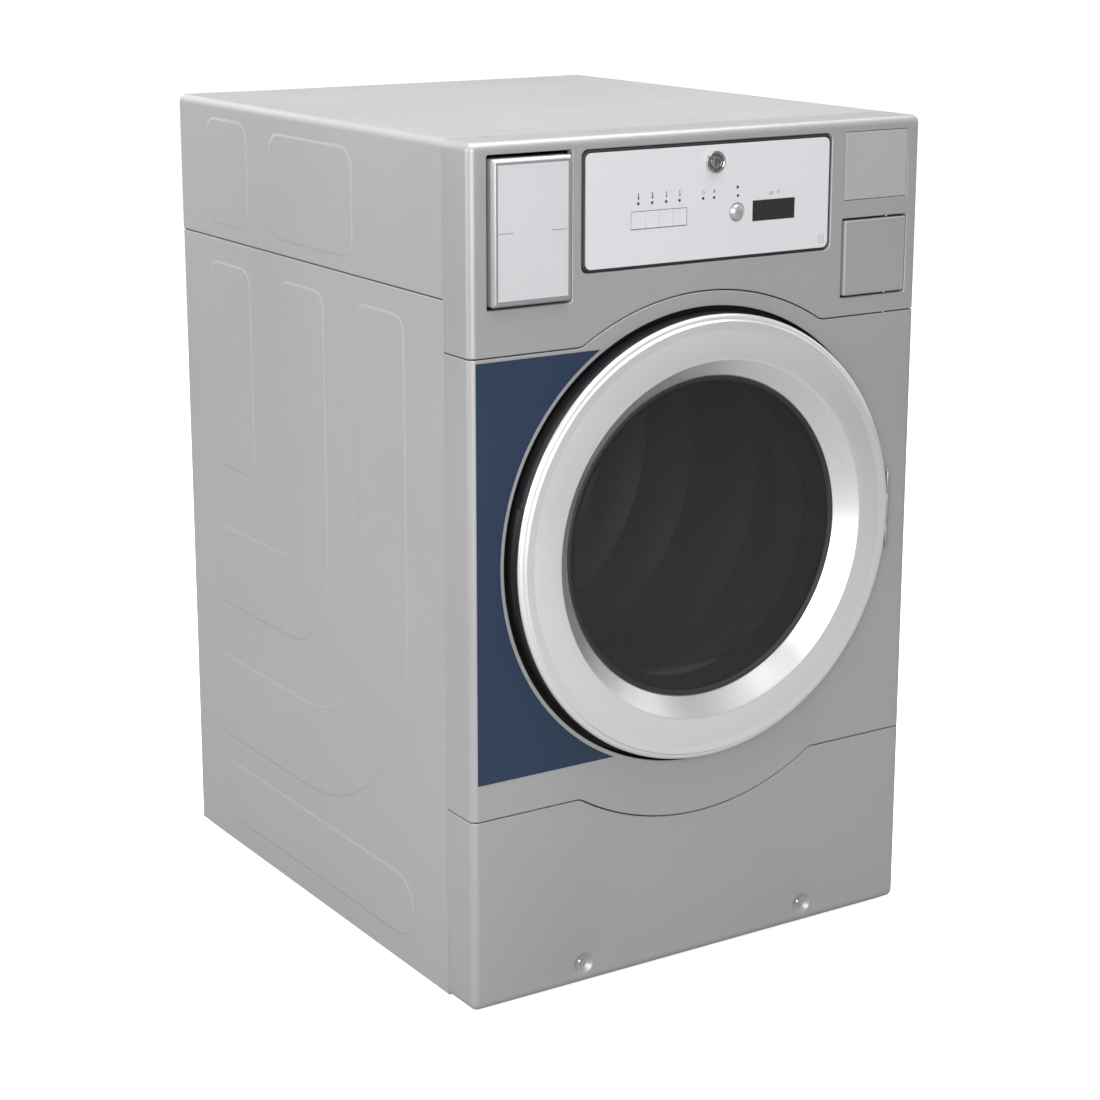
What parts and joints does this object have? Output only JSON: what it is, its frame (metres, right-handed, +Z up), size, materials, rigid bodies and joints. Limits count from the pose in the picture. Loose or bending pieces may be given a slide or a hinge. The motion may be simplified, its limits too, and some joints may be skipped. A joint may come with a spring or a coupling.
{
  "type": "tumble dryer",
  "caption": "Commercial front-loading tumble dryer: sheet-metal cabinet, round glazed door, belt-driven drum with baffles, blower, heater and rear exhaust.",
  "frame": {"origin": "on the floor under the middle of the machine's overall box, with the levelling feet standing on z = 0", "axes": "+Z up; -Y is the front with the door and controls, +Y the rear with the exhaust collar; +X is to the right when facing the front, the door's hinge side"},
  "size_m": [0.686, 0.857, 1.098],
  "materials": {
    "side_paint": "fine silver-grey powder coat",
    "front_paint": "silver-grey metallic powder coat",
    "ring_silver": "satin face with a polished inner cone",
    "white_plate": "smooth printed polyester on steel",
    "navy_film": "satin adhesive film",
    "galvanised": "galvanised sheet",
    "stainless": "satin stainless",
    "chrome": "polished",
    "black_plastic": "moulded",
    "dark_glass": "tinted, polished",
    "rubber": "moulded",
    "white_plastic": "moulded",
    "motor_steel": "enamelled steel",
    "board_green": "circuit board laminate",
    "element": "heat-stained sheath"
  },
  "bodies": {
    "cabinet": {"base_pan": "galvanised", "side_panel_left": "side_paint", "side_panel_right": "side_paint", "rear_panel": "galvanised", "terminal_cover": "galvanised", "top_hood": "side_paint", "control_fascia": "front_paint", "front_panel": "front_paint", "lower_access_panel": "front_paint", "access_screw_left": "chrome", "access_screw_right": "chrome", "accent_film": "navy_film", "card_cover": "white_plate", "coin_drop_blank": "front_paint", "coin_box_door": "front_paint", "control_panel": "white_plate", "panel_gasket": "rubber", "display_window": "dark_glass", "control_board": "board_green", "lock_housing": "chrome", "door_surround": "black_plastic", "door_catch": "white_plastic", "hinge_bracket": "stainless", "front_bulkhead": "galvanised", "rear_bulkhead": "galvanised", "filter_duct": "galvanised", "motor_body": "motor_steel", "motor_bracket": "galvanised", "blower_housing": "galvanised", "exhaust_duct": "galvanised", "heater_housing": "galvanised", "heating_element": "element", "drive_belt": "rubber"},
    "door": {"door_ring": "ring_silver", "door_liner": "white_plastic", "door_glass": "dark_glass", "door_strike": "stainless", "hinge_leaf": "stainless"},
    "drum": {"drum_shell": "stainless", "drum_baffle_1": "stainless", "drum_baffle_2": "stainless", "drum_baffle_3": "stainless"},
    "motor_rotor": {"motor_shaft": "motor_steel", "blower_wheel": "galvanised"},
    "idler_arm": {"idler_arm": "galvanised"},
    "idler_pulley": {"idler_pulley": "motor_steel"},
    "roller_left": {"support_roller_left": "rubber"},
    "roller_right": {"support_roller_right": "rubber"},
    "start_button": {"start_button": "chrome"},
    "lock_plug": {"lock_plug": "chrome"},
    "door_switch": {"door_switch_plunger": "white_plastic"},
    "lint_filter": {"lint_filter": "white_plastic"},
    "key_1": {"temperature_key_1": "white_plate"},
    "key_2": {"temperature_key_2": "white_plate"},
    "key_3": {"temperature_key_3": "white_plate"},
    "key_4": {"temperature_key_4": "white_plate"},
    "foot_front_left": {"levelling_foot_front_left": "galvanised"},
    "foot_front_right": {"levelling_foot_front_right": "galvanised"},
    "foot_rear_left": {"levelling_foot_rear_left": "galvanised"},
    "foot_rear_right": {"levelling_foot_rear_right": "galvanised"}
  },
  "joints": [
    {"name": "door_swing", "type": "hinge", "parent": "cabinet", "child": "door", "pos_m": [0.2925, -0.4138, 0.581], "axis": [0, 0, 1], "range_deg": [0, 165]},
    {"name": "drum_spin", "type": "hinge", "parent": "cabinet", "child": "drum", "pos_m": [0, 0, 0.581], "axis": [0, 1, 0], "continuous": true},
    {"name": "motor_spin", "type": "hinge", "parent": "cabinet", "child": "motor_rotor", "pos_m": [0.09, 0, 0.143], "axis": [0, 1, 0], "continuous": true},
    {"name": "idler_swing", "type": "hinge", "parent": "cabinet", "child": "idler_arm", "pos_m": [0.022, 0, 0.182], "axis": [0, -1, 0], "range_deg": [0, 8], "stiffness_Nm_per_rad": 10, "springref_deg": -11.46},
    {"name": "idler_spin", "type": "hinge", "parent": "idler_arm", "child": "idler_pulley", "pos_m": [-0.03, 0, 0.2105], "axis": [0, 1, 0], "continuous": true},
    {"name": "roller_left_spin", "type": "hinge", "parent": "cabinet", "child": "roller_left", "pos_m": [-0.19, 0.28, 0.28437], "axis": [0, 1, 0], "continuous": true},
    {"name": "roller_right_spin", "type": "hinge", "parent": "cabinet", "child": "roller_right", "pos_m": [0.19, 0.28, 0.28437], "axis": [0, 1, 0], "continuous": true},
    {"name": "start_press", "type": "slide", "parent": "cabinet", "child": "start_button", "axis": [0, 1, 0], "range_m": [0, 0.0025], "stiffness_N_per_m": 800},
    {"name": "lock_turn", "type": "hinge", "parent": "cabinet", "child": "lock_plug", "pos_m": [0.0093, -0.3985, 1.0566], "axis": [0, 1, 0], "range_deg": [0, 90]},
    {"name": "door_switch_press", "type": "slide", "parent": "cabinet", "child": "door_switch", "axis": [0, 1, 0], "range_m": [0, 0.003], "stiffness_N_per_m": 200},
    {"name": "filter_lift", "type": "slide", "parent": "cabinet", "child": "lint_filter", "axis": [0, 0, 1], "range_m": [0, 0.195]},
    {"name": "key_1_press", "type": "slide", "parent": "cabinet", "child": "key_1", "axis": [0, 1, 0], "range_m": [0, 0.0015], "stiffness_N_per_m": 600},
    {"name": "key_2_press", "type": "slide", "parent": "cabinet", "child": "key_2", "axis": [0, 1, 0], "range_m": [0, 0.0015], "stiffness_N_per_m": 600},
    {"name": "key_3_press", "type": "slide", "parent": "cabinet", "child": "key_3", "axis": [0, 1, 0], "range_m": [0, 0.0015], "stiffness_N_per_m": 600},
    {"name": "key_4_press", "type": "slide", "parent": "cabinet", "child": "key_4", "axis": [0, 1, 0], "range_m": [0, 0.0015], "stiffness_N_per_m": 600},
    {"name": "foot_front_left_adjust", "type": "slide", "parent": "cabinet", "child": "foot_front_left", "axis": [0, 0, -1], "range_m": [0, 0.015]},
    {"name": "foot_front_right_adjust", "type": "slide", "parent": "cabinet", "child": "foot_front_right", "axis": [0, 0, -1], "range_m": [0, 0.015]},
    {"name": "foot_rear_left_adjust", "type": "slide", "parent": "cabinet", "child": "foot_rear_left", "axis": [0, 0, -1], "range_m": [0, 0.015]},
    {"name": "foot_rear_right_adjust", "type": "slide", "parent": "cabinet", "child": "foot_rear_right", "axis": [0, 0, -1], "range_m": [0, 0.015]}
  ],
  "couplings": [
    {"joint": "motor_spin", "follows": "drum_spin", "ratio": 33.895},
    {"joint": "idler_spin", "follows": "drum_spin", "ratio": -21.467},
    {"joint": "roller_left_spin", "follows": "drum_spin", "ratio": -10.733},
    {"joint": "roller_right_spin", "follows": "drum_spin", "ratio": -10.733}
  ]
}
